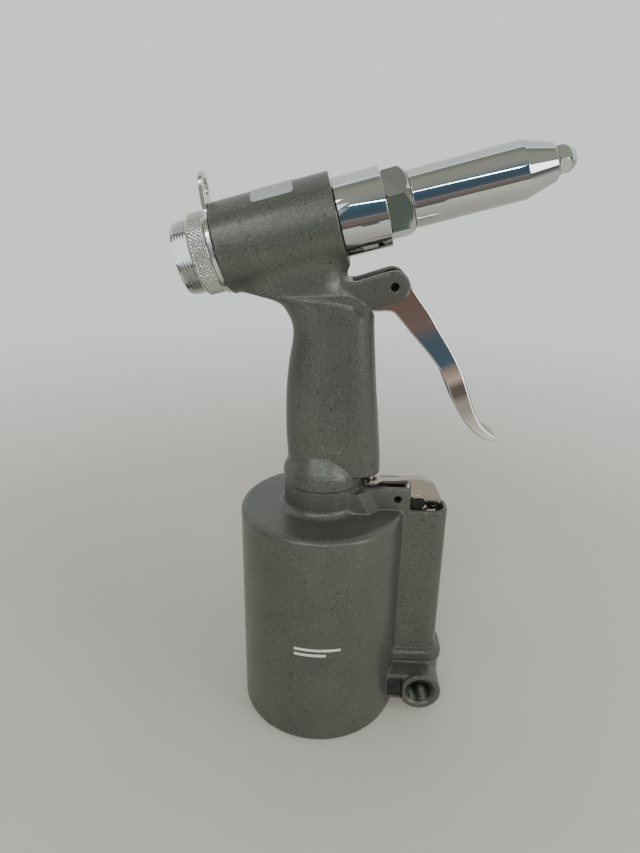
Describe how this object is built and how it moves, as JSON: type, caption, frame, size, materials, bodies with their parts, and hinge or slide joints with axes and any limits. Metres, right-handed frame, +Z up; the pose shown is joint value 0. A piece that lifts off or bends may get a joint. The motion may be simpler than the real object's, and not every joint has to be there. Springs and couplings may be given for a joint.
{
  "type": "hand riveter",
  "caption": "Air-powered hand riveter with a hydraulic pulling head, a squeeze trigger and a can-shaped air cylinder it stands on.",
  "frame": {"origin": "centre of the face the air cylinder stands on", "axes": "+X is the way the nose points, +Y is the tool's left side, +Z is up along the air cylinder and the grip"},
  "size_m": [0.1568, 0.076, 0.2646],
  "materials": {
    "grey_paint": "hammertone grey, satin",
    "chrome": "polished",
    "steel": "turned",
    "aluminium": "turned",
    "brass": "turned",
    "rubber": "matte black",
    "label": "silver foil, blank"
  },
  "bodies": {
    "frame": {"cylinder_casing": "grey_paint", "cylinder_cap": "aluminium", "cap_seal": "rubber", "piston_bumper": "rubber", "handle_casting": "grey_paint", "handle_lock_nut": "steel", "ram_seal": "rubber", "ram_gland": "brass", "rear_cap": "chrome", "hanger_tab": "chrome", "front_sleeve": "chrome", "frame_lock_nut": "chrome", "frame_head": "chrome", "nose_piece": "steel", "rod_seal": "rubber", "head_return_spring": "steel", "oil_fill_screw": "steel", "oil_fill_washer": "rubber", "rating_label": "label", "trigger_pin": "steel", "lever_pin": "steel", "valve_bush": "brass", "valve_cage": "brass", "valve_seal": "rubber", "valve_spring": "steel", "valve_spring_seat": "brass", "inlet_strainer": "steel", "exhaust_silencer": "rubber"},
    "air_piston": {"air_piston": "aluminium", "air_piston_seal": "rubber", "ram": "steel", "ram_nut": "steel"},
    "head_piston": {"head_piston": "steel", "head_piston_seal": "rubber", "jaw_case": "steel", "jaw_case_lock_nut": "steel", "jaw_1": "steel", "jaw_2": "steel", "jaw_3": "steel", "jaw_pusher": "steel", "jaw_spring": "steel"},
    "trigger": {"trigger": "chrome"},
    "pull_rod": {"pull_rod": "steel", "rod_top_nut": "steel", "rod_foot_nut": "steel"},
    "valve_lever": {"valve_lever": "chrome"},
    "valve_stem": {"valve_stem": "steel"}
  },
  "joints": [
    {"name": "trigger_squeeze", "type": "hinge", "parent": "frame", "child": "trigger", "pos_m": [0.0273, 0, 0.2099], "axis": [0, 1, 0], "range_deg": [0, 12], "stiffness_Nm_per_rad": 0.15, "springref_deg": -45.84},
    {"name": "pull_rod_slide", "type": "slide", "parent": "frame", "child": "pull_rod", "axis": [-0.0823, 0, 0.9966], "range_m": [0, 0.0029]},
    {"name": "lever_rock", "type": "hinge", "parent": "frame", "child": "valve_lever", "pos_m": [0.0343, 0, 0.1144], "axis": [0, 1, 0], "range_deg": [0, 14.2]},
    {"name": "valve_stem_slide", "type": "slide", "parent": "frame", "child": "valve_stem", "axis": [0, 0, -1], "range_m": [0, 0.0043], "stiffness_N_per_m": 200, "springref_m": -0.006, "deforming": ["valve_spring"]},
    {"name": "ram_lift", "type": "slide", "parent": "frame", "child": "air_piston", "axis": [0, 0, 1], "range_m": [0, 0.066]},
    {"name": "head_pull", "type": "slide", "parent": "frame", "child": "head_piston", "axis": [-0.9655, 0, -0.2605], "range_m": [0, 0.0151], "stiffness_N_per_m": 500, "springref_m": -0.01, "deforming": ["head_return_spring"]}
  ],
  "couplings": [
    {"joint": "pull_rod_slide", "follows": "trigger_squeeze", "m_per_rad": 0.0134},
    {"joint": "lever_rock", "follows": "trigger_squeeze", "ratio": 1.17},
    {"joint": "valve_stem_slide", "follows": "trigger_squeeze", "m_per_rad": 0.02},
    {"joint": "head_pull", "follows": "ram_lift", "ratio": 0.22727}
  ]
}
